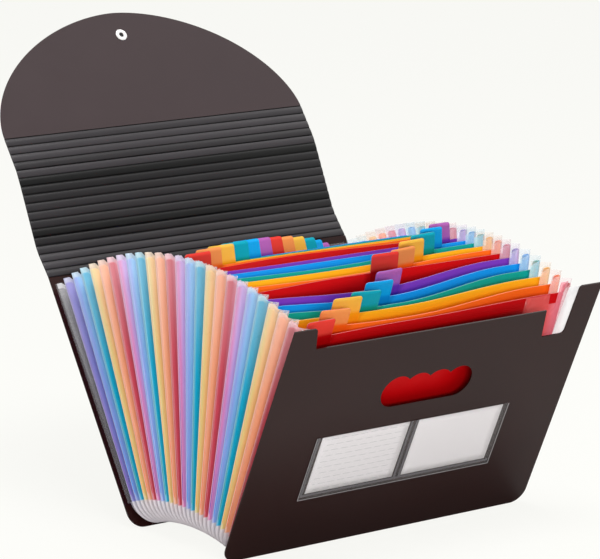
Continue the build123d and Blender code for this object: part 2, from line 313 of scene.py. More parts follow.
class Fan:
    """Planes of the covers and dividers, counted from the front cover, panel 0."""

    # Stretches of the width over which a bow rises and falls, and the right ends are pushed or drawn in.
    bow_rises, bow_falls = (-0.15, -0.035), (-0.02, 0.12)
    end_pushed, end_drawn_in = (-0.02, 0.125), (0.09, 0.145)
    push_panels = (0, 1, 6, 12, POCKETS)
    highest_rise, rise_power = 1.2, 1.3

    def __init__(self, scene):
        self.sizes = scene.folder_fan
        self.dividers = scene.folder_dividers
        self.pleats = scene.folder_pleats
        front, back, depth = self.sizes.front_lean, self.sizes.back_lean, self.sizes.axis_depth
        self.step = (front + back) / POCKETS
        self.axis_y = depth * (math.tan(front) - math.tan(back)) / 2
        self.axis_z = -depth
        self.feet = [self.foot(front), self.foot(back)]
        self.tops = [foot + self.sizes.cover_height for foot in self.feet]

    def foot(self, lean):
        """Distance from the axis to a cover's lower edge, which stands on the table."""
        edge = self.sizes.cover_thickness / 2 * math.sin(lean)
        return (self.sizes.axis_depth + edge) / math.cos(lean)

    def top(self, panel, sizes):
        """Distance from the axis to the top of the dividers or the pleats, by their own drops."""
        front, back = self.tops[0] - sizes.front_drop, self.tops[1] - sizes.back_drop
        return mix(front, back, panel / POCKETS)

    def pleat_bottom(self, panel):
        sag = self.pleats.bottom_sag * np.sin(math.pi * panel / POCKETS)
        return mix(*self.feet, panel / POCKETS) + self.pleats.bottom_lift - sag

    def divider_bottom(self, panel):
        return self.pleat_bottom(panel) + self.pleats.depth + self.dividers.bottom_gap

    def strip_top(self, panel, right):
        """Top of the end strips. The right ones are lower."""
        return self.top(panel, self.pleats) - self.dividers.strip_gap - self.dividers.right_drop * right

    def lean(self, panel):
        return panel * self.step - self.sizes.front_lean

    def points(self, panel, x, reach, push=0.0):
        """Points on a panel at x and at a distance from the axis, pushed to the back."""
        x, reach, push, lean = np.broadcast_arrays(x, reach, push, self.lean(np.asarray(panel, float)))
        y = self.axis_y + reach * np.sin(lean) + push * np.cos(lean)
        z = self.axis_z + reach * np.cos(lean) - push * np.sin(lean)
        return np.stack([x, y, z], axis=-1)

    def soft_points(self, panel, x, reach, belly=0.0, proud=0.0):
        """Points of a soft sheet, with its belly, its pushed and drawn-in right end, and a step off it."""
        low, high = self.divider_bottom(panel), self.top(panel, self.dividers)
        rise = np.clip((reach - low) / (high - low), 0, self.highest_rise) ** self.rise_power
        front, middle = self.dividers.front_end_push, self.dividers.middle_end_push
        end = np.interp(panel, self.push_panels, (0, front, front, middle, 0))
        hump = ease(x, *self.bow_rises) * (1 - ease(x, *self.bow_falls))
        push = (belly * hump + end * ease(x, *self.end_pushed)) * rise
        drawn_in = self.dividers.draw_in * ease(x, *self.end_drawn_in) * rise
        return self.points(panel, x - drawn_in, reach, push + proud)

    def squash(self, piece, panel, keep):
        """Gives a soft sheet a mesh of its own."""
        lean = self.lean(panel)
        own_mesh(piece)


def panel_body(panel):
    if panel == 0:
        return "front_cover"
    if panel == POCKETS:
        return "back_cover"
    return frame["nodes"][f"divider_{panel:02d}"]["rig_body"]


def sheet_colour(panel):
    return SHEET_COLOURS[(panel - 1) % len(SHEET_COLOURS)]


class Lid:
    """Where the ribs and the flap of the lid lie."""

    def __init__(self, scene):
        fan = Fan(scene)
        self.sizes = scene.folder_lid
        self.leans = []
        for count, lean in zip(self.sizes.ribs_in_run, self.sizes.run_leans):
            self.leans += [lean] * count
        self.creases = [Vector(fan.points(POCKETS, 0.0, fan.tops[1]))]
        for lean in self.leans:
            self.creases.append(self.creases[-1] + self.sizes.rib_pitch * self.up(lean))

    def up(self, lean):
        return Vector((0, math.sin(lean), math.cos(lean)))

    def inside(self, lean):
        """Direction square to the lid, towards its inside."""
        return Vector((0, -math.cos(lean), math.sin(lean)))

    def on_rib(self, index, along, inside):
        lean = self.leans[index]
        place = self.creases[index] + along * self.sizes.rib_pitch * self.up(lean)
        return tuple(place + inside * self.sizes.rib_thickness / 2 * self.inside(lean))

    def on_flap(self, x, up, inside):
        lean = self.sizes.flap_lean
        place = self.creases[-1] + self.up(lean) * float(up) + self.inside(lean) * float(inside)
        return (x, place.y, place.z)

    def closure_turn(self, inside):
        """Matrix at the closure: z towards the inside of the lid."""
        lean = self.sizes.flap_lean
        place = self.on_flap(0, self.sizes.flap_height - self.sizes.closure_drop, inside)
        turn = Matrix((Vector((1, 0, 0)), self.up(lean), self.inside(lean))).transposed().to_4x4()
        return Matrix.Translation(place) @ turn


# Meshes


def adjust(item, **settings):
    """Sets several settings of an item and gives it back."""
    for key, value in settings.items():
        setattr(item, key, value)
    return item


def make_mesh(name, points, faces, materials, sharp=40, **marks):
    """A mesh piece in the scene, smooth up to an angle in degrees.

    Its marks are a number or a colour for each point, which its finish reads.
    """
    mesh = bpy.data.meshes.new(name)
    mesh.from_pydata(np.asarray(points, float).reshape(-1, 3).tolist(), [], faces)
    for material in materials:
        mesh.materials.append(material)
    mesh.shade_smooth()
    mesh.set_sharp_from_angle(angle=math.radians(sharp))
    for key, values in marks.items():
        values = np.asarray(values, np.float32).reshape(len(mesh.vertices), -1)
        if values.shape[1] == 1:
            mesh.attributes.new(key, "FLOAT", "POINT").data.foreach_set("value", values.ravel())
        else:
            solid = np.insert(values, 3, 1, axis=1)
            mesh.attributes.new(key, "FLOAT_COLOR", "POINT").data.foreach_set("color", solid.ravel())
    piece = bpy.data.objects.new(name, mesh)
    bpy.context.scene.collection.objects.link(piece)
    return piece


def thicken(piece, thickness, rim=0):
    """Gives a sheet its thickness, with the material numbered rim on its edges."""
    solid = piece.modifiers.new("Thickness", "SOLIDIFY")
    adjust(solid, thickness=thickness, offset=0, material_offset_rim=rim)


def settle(piece, body, slot, *nodes):
    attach(piece, body)
    if nodes:
        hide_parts(*nodes)
    return piece


def grid_faces(rows, columns, first=0, wrap=False):
    """Faces of a grid of points, row by row."""
    faces = []
    for low in range(first, first + (rows - 1) * columns, columns):
        high = low + columns
        for column in range(columns if wrap else columns - 1):
            following = (column + 1) % columns
            faces.append((low + column, low + following, high + following, high + column))
    return faces


def lathe(name, profile, turn, materials, steps=48):
    """A round piece from (radius, height) points, with its axis along z of the matrix turn."""
    points = []
    for radius, height in profile:
        for a in np.linspace(0, 2 * math.pi, steps, endpoint=False):
            points.append(tuple(turn @ Vector((radius * math.cos(a), radius * math.sin(a), height))))
    return make_mesh(name, points, grid_faces(len(profile), steps, wrap=True), materials)


def drop_at_corner(distance, radius):
    """How far an edge with a round corner lies below its straight line, near the corner."""
    near = np.clip(radius - distance, 0, radius)
    return radius - np.sqrt(radius**2 - near**2)


# Finishes

# Scale and detail of the clouds in a plastic's tone and of the patches in its gloss, and its grain.
CLOUDS, PATCHES, GRAIN_DETAIL, GRAIN_HEIGHT = (14, 3), (60, 4), 2, 0.0002
TAB_CLEARNESS = 0.12
# Strength of the film's painted glow, which stands in for the light that passes through it.
PAINTED_GLOW = 0.3


def feed(tree, node, inputs):
    """Gives a node's inputs, by name or place, a number, a colour or another node's output."""
    for key, value in inputs.items():
        if isinstance(value, bpy.types.NodeSocket):
            tree.links.new(value, node.inputs[key])
        else:
            node.inputs[key].default_value = value if isinstance(value, (int, float)) else (*value, 1)


def add_node(tree, kind, inputs=None, **settings):
    node = adjust(tree.nodes.new(kind), **settings)
    feed(tree, node, inputs or {})
    return node


def noise(tree, where, scale, detail):
    inputs = {"Vector": where, "Scale": scale, "Detail": detail}
    return add_node(tree, "ShaderNodeTexNoise", inputs).outputs["Fac"]


def math_node(tree, operation, first, second=0):
    return add_node(tree, "ShaderNodeMath", {0: first, 1: second}, operation=operation).outputs["Value"]


def attribute(tree, name, output="Fac"):
    return add_node(tree, "ShaderNodeAttribute", attribute_name=name).outputs[output]


def blend_colours(tree, part, first, second):
    """Colour from first to second by a part from 0 to 1. Each is a colour or an output."""
    inputs = {"Factor": part, "A": first, "B": second}
    return add_node(tree, "ShaderNodeMix", inputs, data_type="RGBA").outputs["Result"]


def plastic_group():
    """Pressed plastic sheet: cloudy tone, uneven gloss and fine grain."""
    name = "pressed_plastic"
    if name in bpy.data.node_groups:
        return bpy.data.node_groups[name]
    group = bpy.data.node_groups.new(name, "ShaderNodeTree")
    for way, sockets in (
        ("INPUT", ("Colour", "Cloud", "Roughness", "Unevenness", "Grain Scale")),
        ("OUTPUT", ("Colour", "Roughness", "Height")),
    ):
        for socket in sockets:
            kind = "NodeSocketColor" if socket == "Colour" else "NodeSocketFloat"
            group.interface.new_socket(socket, in_out=way, socket_type=kind)
    do = partial(math_node, group)
    start = add_node(group, "NodeGroupInput").outputs
    where = add_node(group, "ShaderNodeTexCoord").outputs["Object"]
    cloud = do("SUBTRACT", noise(group, where, *CLOUDS), 0.5)
    patch = do("SUBTRACT", noise(group, where, *PATCHES), 0.5)
    tone = do("ADD", do("MULTIPLY", cloud, start["Cloud"]), 1.0)
    shaded = add_node(group, "ShaderNodeVectorMath", {0: start["Colour"], "Scale": tone}, operation="SCALE")
    gloss = do("MULTIPLY", patch, start["Unevenness"])
    add_node(group, "NodeGroupOutput", {
        "Colour": shaded.outputs["Vector"],
        "Roughness": do("ADD", gloss, start["Roughness"]),
        "Height": noise(group, where, start["Grain Scale"], GRAIN_DETAIL),
    })
    return group


def plastic(
    name, tone=None, tint=None, cloud=0.25, roughness=0.42, unevenness=0.2, grain=900, bump=0.15, shine=0.5
):
    """A plastic finish. Its colour is one tone, or the output that tint makes from the marks on a mesh."""
    material = bpy.data.materials.new(name)
    material.use_nodes = True
    tree = material.node_tree
    inputs = {
        "Colour": tint(tree) if tint else tone,
        "Cloud": cloud,
        "Roughness": roughness,
        "Unevenness": unevenness,
        "Grain Scale": grain,
    }
    finish = add_node(tree, "ShaderNodeGroup", node_tree=plastic_group())
    feed(tree, finish, inputs)
    height = finish.outputs["Height"]
    relief = add_node(tree, "ShaderNodeBump", {"Strength": bump, "Distance": GRAIN_HEIGHT, "Height": height})
    feed(tree, tree.nodes["Principled BSDF"], {
        "Base Color": finish.outputs["Colour"],
        "Roughness": finish.outputs["Roughness"],
        "Normal": relief.outputs["Normal"],
        "Specular IOR Level": shine,
    })
    return material


def sheet_finish(name, tone, tab):
    """Divider sheet, a little see-through on its index tab, whose colour is painted paler for the light that
    shines through it.
    """
    material = plastic(
        name,
        tint=lambda tree: blend_colours(tree, attribute(tree, "tab"), tone, tab),
        cloud=0.12,
        roughness=0.45,
        unevenness=0.15,
        grain=700,
        shine=0.07,
    )
    tree = material.node_tree
    thin = math_node(tree, "MULTIPLY", attribute(tree, "tab"), -TAB_CLEARNESS)
    feed(tree, tree.nodes["Principled BSDF"], {"Alpha": math_node(tree, "ADD", thin, 1.0)})
    return material


def film_finish():
    """Frosted film: its tint and how much it veils come from the mesh, and it gives off a painted glow in
    place of the light that passes through it.
    """
    material = plastic(
        "frosted_film",
        tint=lambda tree: attribute(tree, "tint", "Color"),
        cloud=0.10,
        roughness=0.3,
        unevenness=0.15,
        grain=500,
        bump=0.05,
        shine=0.35,
    )
    tree = material.node_tree
    feed(tree, tree.nodes["Principled BSDF"], {
        "Alpha": attribute(tree, "veil"),
        "Emission Color": attribute(tree, "glow", "Color"),
        "Emission Strength": PAINTED_GLOW,
    })
    return material


# Covers

# Bevel round the covers' cut edges, which material 1 paints with a lighter highlight.
CUT_EDGE = {
    "width": 0.00035, "segments": 2, "limit_method": "ANGLE", "angle_limit": math.radians(50), "material": 1,
}


class FOLDER_OT_covers(bpy.types.Operator):
    """Give the front and back covers their satin black finish"""

    bl_idname = "folder.covers"
    bl_label = "Covers"

    def execute(self, context):
        colours = context.scene.folder_colours
        finish = plastic("satin_black", colours.cover, roughness=0.14, unevenness=0.05, shine=0.21)
        # The cut edges get a lighter colour than the cover: a painted highlight.
        cut = plastic("cut_black", colours.cover_edge_highlight, roughness=0.4)
        for node in ("front_cover", "back_cover"):
            cover = frame["nodes"][node]
            cover.data.materials.clear()
            for material in (finish, cut):
                cover.data.materials.append(material)
            adjust(cover.modifiers.new("Cut edge", "BEVEL"), **CUT_EDGE)
        return {"FINISHED"}


# Dividers

SHEET_ROWS, RAISED_ROWS = 12, 5
COLUMN_WIDTH = 0.007
ROUNDING = np.array((0, 0.04, 0.15, 0.35, 0.65, 1.0))
# Share of white in the painted highlight on a divider's edges.
EDGE_HIGHLIGHT = 0.14


def divider_columns(fan, panel, top):
    """Places along the width, how far each one rises above the top edge, and what lies between them."""
    sizes = fan.dividers
    half = HALF_WIDTH - sizes.inset
    strip = half - sizes.strip_width
    tab_step = (2 * half - 2 * sizes.tab_margin - sizes.tab_width) / (DIVIDERS // 2 - 1)
    tab_left = -half + sizes.tab_margin + tab_step * ((panel - 1) % (DIVIDERS // 2))
    edges = (-half, -strip, tab_left, tab_left + sizes.tab_width, strip, half)
    places, rises, parts = [-half], [0.0], []
    for low, high, part in zip(edges, edges[1:], ("strip", "", "tab", "", "strip")):
        if part:
            corner = sizes.tab_corner if part == "tab" else sizes.strip_corner
            raised = sizes.tab_height if part == "tab" else fan.strip_top(panel, low > 0) - top
            ends = ROUNDING * corner
            middle = np.linspace(low + corner, high - corner, 4)[1:-1]
            x = np.concatenate([low + ends, middle, (high - ends)[::-1]])
            rise = raised - drop_at_corner(np.minimum(x - low, high - x), corner)
        else:
            x = np.linspace(low, high, max(2, round((high - low) / COLUMN_WIDTH)))
            rise = np.zeros(len(x))
        rises[-1] = max(rises[-1], rise[0])
        places.extend(x[1:])
        rises.extend(rise[1:])
        parts += [part] * (len(x) - 1)
    return np.array(places), np.array(rises), np.array(parts)


def make_divider(fan, panel, finishes, slot):
    """A sheet, with more rows of faces above its top edge where a strip or tab rises."""
    sizes = fan.dividers
    low, high = fan.divider_bottom(panel), fan.top(panel, sizes)
    x, rises, parts = divider_columns(fan, panel, high)
    foot = low + drop_at_corner(HALF_WIDTH - sizes.inset - np.abs(x), sizes.corner)
    up = np.linspace(0, 1, SHEET_ROWS)[:, None]
    above = np.linspace(0, 1, RAISED_ROWS + 1)[1:, None]
    reach = np.concatenate([mix(foot, high, up), high + rises * above])
    x = np.broadcast_to(x, reach.shape)
    tab = np.zeros(reach.shape)
    tab[SHEET_ROWS:] = np.append(parts == "tab", False) | np.append(False, parts == "tab")
    faces = np.reshape(grid_faces(*reach.shape), (len(reach) - 1, -1, 4))
    sheet, raised = faces[: SHEET_ROWS - 1], faces[SHEET_ROWS - 1 :, parts != ""]
    faces = np.concatenate([sheet.reshape(-1, 4), raised.reshape(-1, 4)])
    used, faces = np.unique(faces, return_inverse=True)
    belly = sizes.bellies[panel - 1] if panel <= len(sizes.bellies) else 0.0
    points = fan.soft_points(panel, x, reach, belly).reshape(-1, 3)[used]
    node, faces = f"divider_{panel:02d}", faces.reshape(-1, 4).tolist()
    piece = make_mesh(f"{node}_sheet", points, faces, finishes, tab=tab.ravel()[used])
    settle(piece, panel_body(panel), slot, node)
    fan.squash(piece, panel, keep=0.03)
    thicken(piece, sizes.thickness, rim=1)


class FOLDER_OT_dividers(bpy.types.Operator):
    """Hang the coloured dividers with their index tabs"""

    bl_idname = "folder.dividers"
    bl_label = "Dividers"

    def execute(self, context):
        fan = Fan(context.scene)
        colours = context.scene.folder_colours
        finishes = {}
        for word in SHEET_COLOURS:
            # Each tab's colour is painted paler than its sheet, for the light that shines through the tab.
            tone, tab = getattr(colours, word), getattr(colours, f"{word}_tab")
            finish = sheet_finish(f"{word}_divider_plastic", tone, tab)
            # The sheet's edges are painted paler: a painted highlight where they catch the light.
            pale = [mix(value, 1, EDGE_HIGHLIGHT) for value in tone]
            finishes[word] = finish, plastic(f"{word}_divider_edge", pale, shine=0.1)
        for panel in range(1, DIVIDERS + 1):
            word = sheet_colour(panel)
            make_divider(fan, panel, finishes[word], f"{word}_sheet")
        return {"FINISHED"}


# Pleats

# Shares of a pocket's width at which a pleat has points, how deep it folds there, and steps along the film.
ACROSS = np.array((0, 0.06, 0.14, 0.23, 0.33, 0.42, 0.47, 0.5, 0.53, 0.58, 0.67, 0.77, 0.86, 0.94, 1.0))
FOLD_DEPTH, FOLD_ROUNDING = 1.03, 0.06
SIDE_STEPS, CORNER_STEPS, FLOOR_STEPS, CAP_STEPS, FOOT_STEPS = 24, 14, 14, 4, 3
# Shares of a pleat's depth over which the film's left top dips, and how far from a strip's top and from a
# divider's foot its nearest points lie.
DIPPED, STRIP_ABOVE, STRIP_BELOW, FOOT_ABOVE, FOOT_BELOW = (0.3, 0.55), 0.0003, 0.001, 0.0004, 0.0006
# Contact with a sheet, from 0 at the bottom of a pleat to 1 at its outer fold: where the film takes on the
# haze of the sheet, on the left and on the right, the painted highlight on the fold, and from no touch to
# full touch.
HAZED_LEFT, HAZED_RIGHT, FOLDED, TOUCH_WIDTH = (0.25, 0.5), (0.45, 0.8), (0.955, 0.975), 0.18
# The contact at which the touch starts, the least haze on the right, and how much the film hides there.
BARE_FILM, USUAL_FILM = (0.66, 0.5, 0), (0.66, 0.65, 0.5)
FILM_ON = {"red": (0.5, 0.65, 0.5), "green": (0.38, 0.85, 0.6)}
RIGHT_TOUCH = 0.5  # Share of the touching film's colour that shows on the right.
# How much the film hides. Beside a cover, that is a share and what the top adds to it. On the left, it is
# less over the last panels.
COVER_CLEAR, COVER_MILKY, LEFT_CLEAR, LEFT_MILKY = (0.03, 0.07), (0.05, 0.12), 0.24, 0.66
LAST_PANELS, LAST_THINNING = 2.5, 0.4
FRONT_FLANGE_VEIL, BACK_FLANGE_VEIL, DIVIDER_FLANGE_VEIL = 0.55, 0.07, 0.5
FRONT_FLANK_VEIL, FLOOR_VEIL, LEFT_CAP_VEIL, RIGHT_CAP_VEIL = 0.1, 0.75, 0.42, 0.12
# Heights over which the film changes: below a strip's top, round it, and round a divider's foot.
END_FADE, PALE_FADE, CAP_EDGE, FOOT_EDGE = 0.18, 0.1, (-0.001, 0.0002), (-0.0005, 0.0003)
# How much the film is whitened along its outer fold, a painted highlight, and near the top, and how much
# haze the caps take.
FOLD_HIGHLIGHT, TOP_BARENESS, CAP_HAZE = 0.4, 0.22, 0.4
# Painted glow of the film on the left and where it is welded, and how much it dims at the caps and under the
# pockets.
LEFT_GLOW, WELD_GLOW, CAP_DIMMING, FLOOR_DIMMING = 0.36, 0.43, 0.55, 0.85
FLANGE_COLUMNS, FLANGE_ROWS = 6, 12
# Film on the first divider: its places along the width, where its top steps down and up again, how far it
# ends below the sheet's top before and after the step down, how far above the strip, and where it pales.
WELD_X = np.array((0.105, 0.113, 0.121, 0.130, 0.1385, 0.1390, 0.1475, 0.1480, 0.152, 0.1565))
WELD_ROWS, STEP_DOWN, STEP_UP, WELD_DROPS = 14, 0.1388, 0.1478, (0.0005, 0.010)
WELD_RISE, WELD_FADE = 0.002, (0.136, 0.152)


def film_side(fan, panel, depth, right):
    """Distances down one side of the film, close together where its colour starts and ends."""
    dip = 0 if right else fan.pleats.cap_dip * ease(depth / fan.pleats.depth, *DIPPED)
    strip, edge = fan.strip_top(panel, right) - dip, fan.divider_bottom(panel)
    top = np.linspace(strip + fan.dividers.strip_gap, strip + STRIP_ABOVE, CAP_STEPS)
    foot = np.linspace(edge - FOOT_BELOW, fan.pleat_bottom(panel) + fan.pleats.corner, FOOT_STEPS)
    between = np.linspace(strip - STRIP_BELOW, edge + FOOT_ABOVE, SIDE_STEPS - CAP_STEPS - FOOT_STEPS)
    return np.concatenate([top, between, foot])


def film_outline(fan, panel, depth):
    """Points down the left side, along the bottom and up the right side, at a depth inside the folds."""
    half, corner = HALF_WIDTH - fan.pleats.inset, fan.pleats.corner
    low, bend = fan.pleat_bottom(panel), corner - depth
    turn = np.linspace(0, math.pi / 2, CORNER_STEPS + 2)[1:-1]
    side = np.full(SIDE_STEPS, half - depth)
    bend_x, bend_reach = half - corner + bend * np.cos(turn), low + corner - bend * np.sin(turn)
    floor = np.linspace(corner - half, half - corner, FLOOR_STEPS)
    down, up = (film_side(fan, panel, depth, right) for right in (False, True))
    x = np.concatenate([-side, -bend_x, floor, bend_x[::-1], side])
    reach = [down, bend_reach, np.full(FLOOR_STEPS, low + depth), bend_reach[::-1], up[::-1]]
    return x, np.concatenate(reach)


def film_tints(fan, colours, pocket, back_flank, contact, x, reach):
    """Colour of a row of film, its painted glow and how much it hides.

    It takes colour from the sheet that it touches, and its painted glow is dimmer under the pockets.
    """
    panel, right, bare = pocket + back_flank, x > 0, np.array(colours.film)
    strip = fan.strip_top(panel, right)
    rise = ease(reach, strip - END_FADE, strip)
    touched, haze, (touch, spread, veil) = bare, bare, BARE_FILM
    clear, milky = (least + more * rise for least, more in (COVER_CLEAR, COVER_MILKY))
    if 0 < panel < POCKETS:
        word = sheet_colour(panel)
        touched, haze = (np.array(getattr(colours, word + part)) for part in ("_film", "_haze"))
        if panel == DIVIDERS:
            touched = haze = np.array(colours.last_film)
        touch, spread, veil = FILM_ON.get(word, USUAL_FILM)
        thin = 1 - LAST_THINNING * ease(panel, DIVIDERS - LAST_PANELS, DIVIDERS)
        clear = np.where(right, 0, LEFT_CLEAR * thin)
        milky = np.where(right, veil if back_flank else FRONT_FLANK_VEIL, LEFT_MILKY * thin)
    near = np.where(right, mix(spread, 1, ease(contact, *HAZED_RIGHT)), ease(contact, *HAZED_LEFT))
    pressed = np.where(right, RIGHT_TOUCH, 1) * ease(contact, touch, touch + TOUCH_WIDTH)
    cap = ease(reach - strip, *CAP_EDGE)
    base = 1 - ease(reach - fan.divider_bottom(panel), *FOOT_EDGE)
    over = mix(bare, mix(haze, touched, pressed[:, None]), near[:, None])
    # Painted highlight: the film is whitened along its outer fold.
    over = mix(over, bare, FOLD_HIGHLIGHT * ease(contact, *FOLDED))
    over = mix(over, bare, TOP_BARENESS * ease(reach, strip - PALE_FADE, strip)[:, None])
    over = mix(over, mix(bare, haze, CAP_HAZE), cap[:, None])
    tint = mix(over, np.array(colours.film_floor), base[:, None])
    # Painted glow in place of light through the film: full on the right, less on the left, dimmer at the
    # caps and under the pockets.
    glow = np.where(right, 1 - CAP_DIMMING * cap, LEFT_GLOW) * (1 - FLOOR_DIMMING * base)
    veil = mix(mix(clear, milky, near), np.where(right, RIGHT_CAP_VEIL, LEFT_CAP_VEIL), cap)
    return tint, tint * glow[:, None], mix(veil, FLOOR_VEIL, base)


def make_pleat(fan, colours, pocket, finish):
    sizes = fan.pleats
    depths = sizes.depth * (FOLD_DEPTH - np.sqrt((2 * ACROSS - 1) ** 2 + FOLD_ROUNDING**2)).clip(0)
    panels = pocket + ACROSS
    x, reach = np.stack([film_outline(fan, *row) for row in zip(panels, depths)], axis=1)
    rows = []
    for part, depth, *row in zip(ACROSS, depths, x, reach):
        rows.append(film_tints(fan, colours, pocket, part > 0.5, 1 - depth / sizes.depth, *row))
    tint, glow, veil = (np.array(values) for values in zip(*rows))
    points = fan.soft_points(np.broadcast_to(panels[:, None], x.shape), x, reach)
    name, faces = f"pleat_{pocket + 1:02d}", grid_faces(*x.shape)
    piece = make_mesh(name, points, faces, [finish], sharp=80, tint=tint, glow=glow, veil=veil)
    settle(piece, panel_body(pocket), "frosted_film", "left_gusset", "right_gusset", "bottom_gusset")
    fan.squash(piece, pocket, keep=0.06)
    thicken(piece, sizes.film)


def weld_film(name, panel, points, tone, veil, finish):
    """A piece of film that is welded to a panel."""
    shape, tint = points.shape[:2], np.broadcast_to(tone, points.shape)
    # Welded film gets a painted glow too.
    marks = {"tint": tint, "glow": WELD_GLOW * tint, "veil": np.full(shape, veil)}
    piece = make_mesh(name, points, grid_faces(*shape), [finish], **marks)
    return settle(piece, panel_body(panel), "frosted_film")


def make_flange(fan, colours, name, panel, side, finish):
    """Film that is welded to the inside of a cover along one side."""
    sizes = fan.pleats
    outer = HALF_WIDTH - sizes.inset
    width = sizes.flange if side > 0 else sizes.left_flange
    x = side * np.linspace(outer - width, outer, FLANGE_COLUMNS)
    low, high = fan.pleat_bottom(panel) + sizes.corner, fan.top(panel, sizes)
    inside = fan.sizes.cover_thickness / 2 + sizes.film / 4
    push, veil = (inside, FRONT_FLANGE_VEIL) if panel == 0 else (-inside, BACK_FLANGE_VEIL)
    points = fan.points(panel, x, np.linspace(low, high, FLANGE_ROWS)[:, None], push)
    thicken(weld_film(name, panel, points, np.array(colours.film), veil, finish), sizes.film / 3)


def make_divider_flange(fan, colours, finish):
    """Film that is welded to the front of the first divider at its right end, lower beside the pleat."""
    sizes = fan.dividers
    low = fan.divider_bottom(1) + sizes.corner
    high = fan.top(1, sizes) - np.where(WELD_X < STEP_DOWN, *WELD_DROPS)
    high = np.where(WELD_X > STEP_UP, fan.strip_top(1, True) + WELD_RISE, high)
    reach = mix(low, high, np.linspace(0, 1, WELD_ROWS)[:, None])
    x = np.broadcast_to(WELD_X, reach.shape)
    proud = -sizes.thickness / 2 - fan.pleats.film / 4
    points = fan.soft_points(1, x, reach, sizes.bellies[0], proud)
    edge = ease(x, *WELD_FADE)[..., None]
    tone = mix(np.array(colours.red_weld), np.array(colours.red_haze), edge)
    piece = weld_film("divider_flange", 1, points, tone, DIVIDER_FLANGE_VEIL, finish)
    fan.squash(piece, 1, keep=0.03)
    thicken(piece, fan.pleats.film / 3)


class FOLDER_OT_pleats(bpy.types.Operator):
    """Fold the frosted film round the pockets"""

    bl_idname = "folder.pleats"
    bl_label = "Pleats"

    def execute(self, context):
        fan = Fan(context.scene)
        colours = context.scene.folder_colours
        finish = film_finish()
        for pocket in range(POCKETS):
            make_pleat(fan, colours, pocket, finish)
        for cover, panel in (("front", 0), ("back", POCKETS)):
            for end, side in (("left", -1), ("right", 1)):
                make_flange(fan, colours, f"{cover}_flange_{end}", panel, side, finish)
        make_divider_flange(fan, colours, finish)
        return {"FINISHED"}


# Lid

# Sides of a rib: shares of its pitch, and of half its thickness.
RIB_INSIDE = (
    (0.0, -0.8), (0.06, -0.7), (0.08, 0.4), (0.13, 1.0), (0.25, 1.8), (0.42, 2.4),
    (0.58, 2.5), (0.73, 2.2), (0.86, 1.5), (0.93, 0.7), (0.95, -0.7), (1.0, -0.8),
)
RIB_OUTSIDE = ((1.0, -0.9), (0.95, -1.2), (0.5, -1.2), (0.05, -1.2), (0.0, -0.9))
LAST_CREASE = ((1.06, -0.6), (1.06, -0.9))
GROOVE_BELOW, OUTSIDE_BELOW, HINGE_HEIGHT = 0.3, -0.85, -0.02
# Places along the width, and how much of the relief a rib has there.
RIB_LENGTHS = ((-1, 0.3), (-0.985, 1), (0.985, 1), (1, 0.3))
FLAP_TURNS, FLAP_RINGS = 96, 14
FLAP_FOOT, RIM_WIDTH, RIM_HEIGHT = 0.05, 0.4, 0.5


def make_ribs(lid, first, end):
    """Ribs between two creases, as one bar with this section along the width."""
    rows = [(index, *row) for index in range(first, end) for row in RIB_INSIDE]
    hinges = [0]
    if end == len(lid.leans):
        rows += [(end - 1, *row) for row in LAST_CREASE]
    else:
        hinges.append(len(rows) - 1)
    rows += [(index, *row) for index in reversed(range(first, end)) for row in RIB_OUTSIDE]
    for row in hinges:
        rows[row] = (*rows[row][:2], HINGE_HEIGHT)
    # Painted shade: full in the creases, and each rib's own share on its face.
    shades = lid.sizes.painted_rib_shades
    painted_shades = [1.0 if inside < GROOVE_BELOW else shades[index] for index, _, inside in rows]
    points = []
    for x, relief in RIB_LENGTHS:
        for index, along, inside in rows:
            height = inside * relief if inside > OUTSIDE_BELOW else inside
            points.append((x * HALF_WIDTH, *lid.on_rib(index, along, height)[1:]))
    count, last = len(rows), len(points) - len(rows)
    faces = grid_faces(len(RIB_LENGTHS), count, wrap=True)
    faces += [tuple(range(count)), tuple(reversed(range(last, last + count)))]
    return points, faces, painted_shades * len(RIB_LENGTHS)


def make_flap(lid, first):
    """Rounded flap: rings from the middle of its crease to its rim, on both faces."""
    sizes = lid.sizes
    half_thickness = sizes.rib_thickness / 2
    low = FLAP_FOOT * sizes.rib_pitch
    turns = np.linspace(0, math.pi, FLAP_TURNS + 1)
    power = 2 / sizes.flap_fullness
    across = HALF_WIDTH * np.sign(np.cos(turns)) * np.abs(np.cos(turns)) ** power
    up = (sizes.flap_height - low) * np.abs(np.sin(turns)) ** power
    shares = np.linspace(0, 1, FLAP_RINGS + 1)[1:-1]
    shares = np.append(shares, (1 - RIM_WIDTH * half_thickness / sizes.flap_height, 1.0))
    heights = half_thickness * np.where(shares < 1, 1, RIM_HEIGHT)
    loops = [*zip(shares, heights), *zip(shares[::-1], -heights[::-1])]
    points = [
        lid.on_flap(part * x, low + part * y, height) for part, height in loops for x, y in zip(across, up)
    ]
    count, centre = len(turns), first + len(points)
    points += [lid.on_flap(0, low, height) for height in (half_thickness, -half_thickness)]
    faces = grid_faces(len(loops), count, first)
    last = centre - count
    for step in range(count - 1):
        faces.append((centre, first + step, first + step + 1))
        faces.append((centre + 1, last + step + 1, last + step))
    return points, [tuple(reversed(face)) for face in faces]


